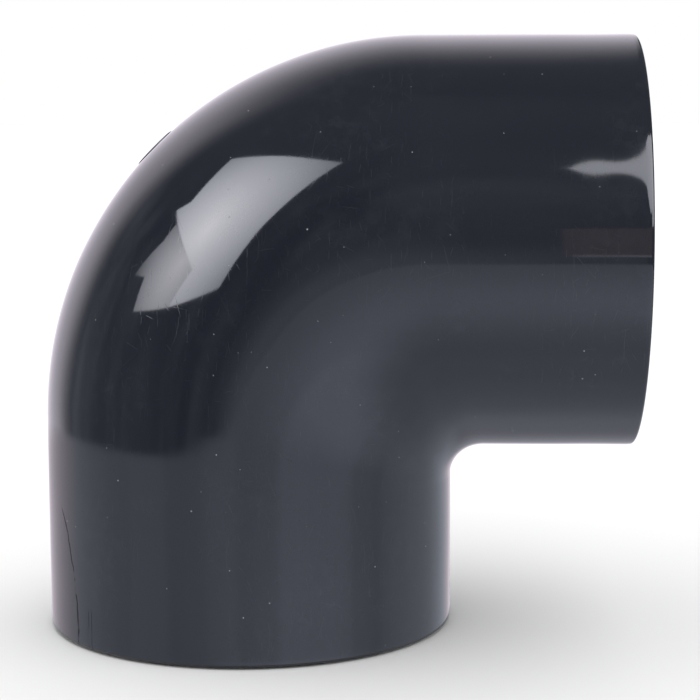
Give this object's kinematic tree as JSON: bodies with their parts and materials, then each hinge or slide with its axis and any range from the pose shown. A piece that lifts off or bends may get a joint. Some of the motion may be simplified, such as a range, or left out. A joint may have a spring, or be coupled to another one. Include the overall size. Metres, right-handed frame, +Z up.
{
  "type": "pvc conduit elbow",
  "caption": "Short-radius 90 degree socket elbow in glossy dark grey PVC-U, moulded in one piece, joining two solvent-welded 63 mm tubes at right angles.",
  "frame": {"origin": "centre of the lower mouth, in the plane of its rim", "axes": "+Z up the lower socket's axis, into the fitting; +X out of the side socket's mouth; +Y square to the plane of the bend"},
  "size_m": [0.108, 0.075, 0.108],
  "materials": {
    "grey_pvc": "injection-moulded slate grey PVC-U, polished outside with faint flow waves, fine dust and handling scratches"
  },
  "bodies": {
    "root": {"elbow_body": "grey_pvc"}
  },
  "joints": []
}
